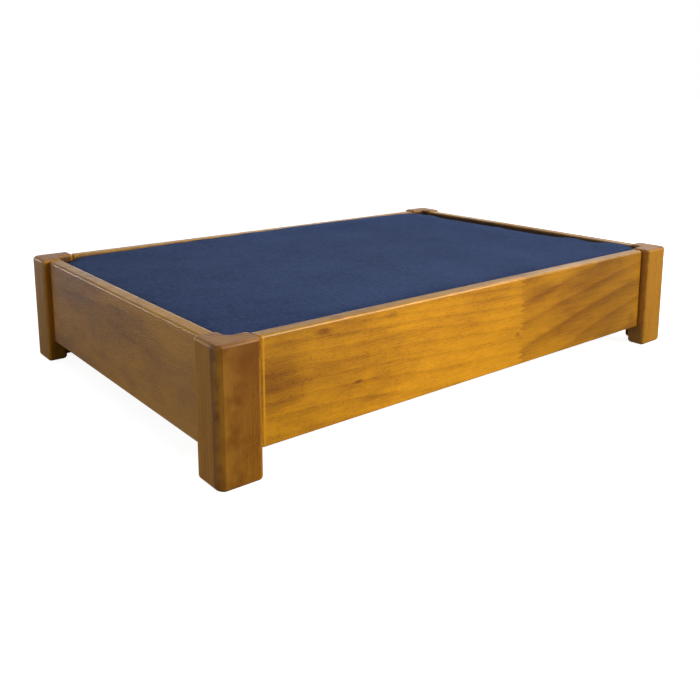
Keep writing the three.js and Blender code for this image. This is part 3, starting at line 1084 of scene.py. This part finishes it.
def add_seams(cover, fabric):
    """A welt along the top and the bottom edge, where the panels meet the band.

    Probes from an outline round the cover find its side at the seam's height.
    """
    low, high = mattress_box()
    tree = BVHTree.FromObject(cover, bpy.context.evaluated_depsgraph_get())
    probes = evenly_round(rectangle(low - PROBE_OUTSIDE, high + PROBE_OUTSIDE, PROBE_RADIUS))
    for name, height in (("top", high.z - SEAM_BELOW_TOP), ("bottom", low.z + SEAM_ABOVE_BOTTOM)):
        spine = []
        for point in probes:
            inner = Vector((
                max(low.x + PROBE_RADIUS, min(high.x - PROBE_RADIUS, point.x)),
                max(low.y + PROBE_RADIUS, min(high.y - PROBE_RADIUS, point.y)),
                height,
            ))
            start = Vector((point.x, point.y, height))
            hit, normal, _, _ = tree.ray_cast(start, inner - start)
            if hit is not None:
                spine.append(hit - SEAM_SUNK * normal)
        spine = [p for i, p in enumerate(spine) if (p - spine[i - 1]).length > SEAM_SHORTEST]
        piece = welt(f"seam_{name}", spine, SEAM_RADIUS, fabric)
        settle(piece, "mattress", "cover_fabric")


def welt(name, spine, radius, material):
    """A closed ring of round section along the spine."""
    count = len(spine)
    points = []
    up = Vector((0, 0, 1))
    for i, place in enumerate(spine):
        forward = (spine[(i + 1) % count] - spine[i - 1]).normalized()
        out = forward.cross(up).normalized()
        for k in range(SEAM_SIDES):
            turn = 2 * HALF_TURN * k / SEAM_SIDES
            points.append(place + radius * (math.cos(turn) * out + math.sin(turn) * up))
    faces = []
    for i in range(count):
        here, there = i * SEAM_SIDES, (i + 1) % count * SEAM_SIDES
        for k in range(SEAM_SIDES):
            m = (k + 1) % SEAM_SIDES
            faces.append((here + k, there + k, there + m, here + m))
    piece = new_piece(name, material, points, faces)
    piece.data.shade_smooth()
    return piece


# ---- Zip --------------------------------------------------------------------

TEETH_APART = 0.8 * MM
TOOTH = (1.1 * MM, 2.6 * MM, 0.9 * MM)
TOOTH_OFFSET = 0.7 * MM
TOOTH_RADIUS = 0.5 * MM
TOOTH_EASING = 0.3 * MM
TOOTH_PROUD = 0.1 * MM
CHAIN_END = 6 * MM
TAPE_SUNK = 0.2 * MM
TAPE_RADIUS = 0.8 * MM
TAPE_EASING = 0.4 * MM
SLIDER_RADIUS = 2.4 * MM
SLIDER_EASING = 0.6 * MM
TAB_ROOM = 0.6 * MM
TAB_EASING = 0.4 * MM
TAB_WIDTH = 5.2 * MM
TAB_THICK = 1.1 * MM
TAB_RADIUS = 1.6 * MM
TAB_OVERLAP = 8 * MM
TAB_REACH = 14 * MM


def facing_back(place):
    """Lays a prism down on the band: its x to the bed's left, its top to the rear."""
    turn = Matrix(((-1, 0, 0, 0), (0, 0, 1, 0), (0, 1, 0, 0), (0, 0, 0, 1)))
    return Matrix.Translation(place) @ turn


def block(wide, tall, deep, radius, easing, place, steps):
    """A small eased block lying on the band, its underside's middle at the place."""
    corners = rectangle((-wide / 2, -tall / 2), (wide / 2, tall / 2), radius)
    return eased_prism(corners, 0, deep, easing, facing_back(place), steps=steps)


def add_zip(tape_fabric, tooth_material, slider_material):
    low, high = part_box("zip_tape")
    middle = middle_of("zip_tape")
    deep = high.y - low.y - TAPE_SUNK
    under = Vector((middle.x, low.y, middle.z))
    tape = block(high.x - low.x, high.z - low.z, deep, TAPE_RADIUS, TAPE_EASING, under, 2)
    teeth = []
    wide, tall, thick = TOOTH
    for k in range(int((high.x - low.x - 2 * CHAIN_END) / TEETH_APART)):
        side = TOOTH_OFFSET if k % 2 else -TOOTH_OFFSET
        x = low.x + CHAIN_END + k * TEETH_APART
        place = Vector((x, high.y + TOOTH_PROUD - thick / 2, middle.z + side))
        teeth.append(block(wide, tall, thick, TOOTH_RADIUS, TOOTH_EASING, place, 1))
    chain = new_piece("zip_chain", tape_fabric, *joined([tape, *teeth]))
    chain.data.materials.append(tooth_material)
    for face in chain.data.polygons[len(tape[1]):]:
        face.material_index = 1
    settle(shade(chain, CHAIN_LIMIT), "mattress", "zip_tape", "zip_tape")

    low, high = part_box("zip_slider")
    size, middle = high - low, middle_of("zip_slider")
    under = Vector((middle.x, low.y, middle.z))
    tab_left, tab_right = low.x - TAB_REACH, high.x - TAB_OVERLAP
    over = Vector(((tab_left + tab_right) / 2, high.y - TAB_ROOM, middle.z))
    body = block(size.x, size.z, size.y - TAB_ROOM, SLIDER_RADIUS, SLIDER_EASING, under, 3)
    tab = block(tab_right - tab_left, TAB_WIDTH, TAB_THICK, TAB_RADIUS, TAB_EASING, over, 2)
    slider = new_piece("zip_puller", slider_material, *joined([body, tab]))
    settle(shade(slider, SMALL_LIMIT), "zip_slider", "zip_metal", "zip_slider")


# ---- Assembly ---------------------------------------------------------------

HONEY = linear(234, 163, 16)
HONEY_DARK = linear(136, 76, 2)
POST_LIGHT = linear(196, 136, 34)
POST_DARK = linear(120, 70, 8)
BEECH = linear(232, 190, 130)
BEECH_DARK = linear(190, 138, 80)
NAVY = linear(31, 50, 95)
NAVY_THREAD = linear(77, 103, 159)


def frame_woods():
    marks_and_painted_highlight = (
        (-0.2175, 0.0724, 9 * MM, 2.2 * MM, 0.9, 3 * MM),
        (-0.2654, 0.1391, 16 * MM, 5 * MM, 0.45, 3 * MM),
        (-0.1672, 0.1410, 12 * MM, 5 * MM, 0.3, 2 * MM),
        (0.0550, 0.0733, 6 * MM, 5 * MM, 0.5, 3 * MM),
        (-0.3288, 0.0988, 50 * MM, 50 * MM, 0.6, 2 * MM),
        (0.1000, 0.1270, 46 * MM, 20 * MM, 0.45, 2 * MM),
        (0.3270, 0.0493, 16 * MM, 12 * MM, 0.3, 2 * MM),
        # A broad patch right of the middle, a little darker.
        (0.1900, 0.0900, 110 * MM, 90 * MM, 0.16, 0),
        # Painted highlight: a thin pale strip up the rail's left end, beside the near post.
        (-0.3414, 0.0900, 1.7 * MM, 400 * MM, -1.2, 0),
    )
    return {
        "front_rail": wood(
            "front_rail_wood", "x", HONEY, HONEY_DARK, (-0.09, -0.02), seed=3.1, taper=0.03,
            contrast=0.5, cloud=0.45, spacing=8 * MM, marks=marks_and_painted_highlight,
            fingers=(0.063, 10 * MM, 8 * MM, (0.7, 0.02, 0.03), -0.16), inside=(0, 0.9, 0),
        ),
        "rear_rail": wood(
            "rear_rail_wood", "x", HONEY, HONEY_DARK, (0.10, 0.05), seed=7.7, inside=(0, -0.9, 0),
            coat=0.2,
        ),
        "left_rail": wood(
            "left_rail_wood", "y", HONEY, HONEY_DARK, (0.06, 0.09), seed=5.2, contrast=0.3, painted_veil=0.15,
            inside=(0.9, 0, 0), coat=0.3,
            marks=((0.22, -0.39, 0.3, 1.0, 0.2, 0), (-0.16, -0.39, 0.16, 1.0, -0.2, 0)),
        ),
        "right_rail": wood(
            "right_rail_wood", "y", HONEY, HONEY_DARK, (-0.03, -0.08), seed=9.4, inside=(-0.9, 0, 0),
            coat=0.35,
        ),
    }


def post_woods():
    ends = linear(204, 142, 96)
    front_side = (0.07, -0.275, 1.0, 17 * MM, 0.75, 0)
    darker_top = (0.15, -0.275, 60 * MM, 40 * MM, 0.25, 0)
    # Painted shade down the near post's rounded front corner.
    corner = (0.07, -0.267, 1.0, 5 * MM, 0.5, 0)
    tones = {
        "front_left_post": (1.4, (-0.36, 0.05), 2.3, (front_side, darker_top, corner)),
        "front_right_post": (1.5, (0.36, 0.05), 4.9, ()),
        "rear_right_post": (0.9, (0.43, 0.20), 6.1, ()),
        "rear_left_post": (1.0, (-0.42, 0.18), 8.8, ()),
    }
    return {
        node: wood(
            f"{node}_wood", "z",
            tuple(tone * c for c in POST_LIGHT), tuple(tone * c for c in POST_DARK),
            heart, seed=seed, spacing=7 * MM, cloud=0.22, end_colour=ends, marks=marks,
            painted_veil=0.07, coat=0.12,
            # Painted shade on the posts' inner faces.
            inside=(-0.98 if "right" in node else 0.98, -0.98 if "rear" in node else 0.98, 0),
            within=(cad_high.x - POST_LEG + 0.5 * MM, cad_high.y - POST_LEG + 0.5 * MM),
        )
        for node, (tone, heart, seed, marks) in tones.items()
    }


def base_wood(name, axis, seed):
    return wood(
        name, axis, BEECH, BEECH_DARK, (0.08, 0.05), seed=seed,
        spacing=4 * MM, cloud=0.3, wear_and_highlight=0.15, roughness=0.62, coat=0.0,
    )


def add_frame():
    add_posts(post_woods())
    add_rails(frame_woods())
    pegs = {(1, 0, 0): base_wood("peg_wood_x", "x", 1.1), (0, 1, 0): base_wood("peg_wood_y", "y", 1.4)}
    add_dowels(pegs)
    add_screws(metal("zinc", linear(206, 196, 168), 0.34))
    for i, node in enumerate(["front_cleat", "rear_cleat"]):
        add_board(node, "frame", base_wood(f"{node}_wood", "x", 12.0 + i))
    for i, node in enumerate([n for n in named("slat_") if "screw" not in n]):
        add_board(node, "slatted_base", base_wood(f"{node}_wood", "y", 20.0 + 1.3 * i))
    for i, node in enumerate(["front_batten", "rear_batten"]):
        add_board(node, "slatted_base", base_wood(f"{node}_wood", "x", 31.0 + 1.7 * i))


def add_soft_parts():
    cover = woven("cover_cloth", NAVY, NAVY_THREAD, 0.9 * MM, 0.12)
    # The seam cloth is darker than the cover: painted shade, for the shadow line along each welt.
    seam = woven("seam_cloth", linear(18, 28, 60), linear(46, 64, 104), 0.6 * MM, 0.12)
    mattress_cover = add_cover(cover)
    add_core(foam_material())
    add_seams(mattress_cover, seam)
    tape = woven("tape_cloth", linear(26, 32, 50), linear(44, 54, 80), 0.5 * MM, 0.1)
    coil = plastic("nylon_coil", linear(22, 28, 46))
    add_zip(tape, coil, metal("nickel", linear(198, 196, 190), 0.3))


FLOOR_REACH = 40.0


def floor_material():
    """Pale paper, which looks white but sends little light back up at the bed."""
    s = Shader("paper")
    place = s.place()
    tooth = s.noise(place, scale=400.0, detail=2.0)
    seen = s.add("ShaderNodeBsdfDiffuse", {"Color": (0.95, 0.95, 0.95, 1)})
    glow = s.add("ShaderNodeEmission", {"Color": (1, 1, 1, 1), "Strength": 0.9})
    bright = s.add("ShaderNodeAddShader", {0: seen, 1: glow})
    shade_of_grey = s.mix(s.ease(tooth, 0.3, 0.7), (0.2, 0.2, 0.2), (0.22, 0.22, 0.22))
    dim = s.add("ShaderNodeBsdfDiffuse", {"Color": shade_of_grey})
    camera_ray = s.add("ShaderNodeLightPath", output=0)
    s.add_output(s.add("ShaderNodeMixShader", {0: camera_ray, 1: dim, 2: bright}))
    return s.material


def add_floor():
    reach = FLOOR_REACH
    points = [(-reach, -reach, 0), (reach, -reach, 0), (reach, reach, 0), (-reach, reach, 0)]
    new_piece("floor", floor_material(), points, [(0, 1, 2, 3)])


add_camera()
add_lights()
add_world()
add_floor()
add_frame()
add_soft_parts()
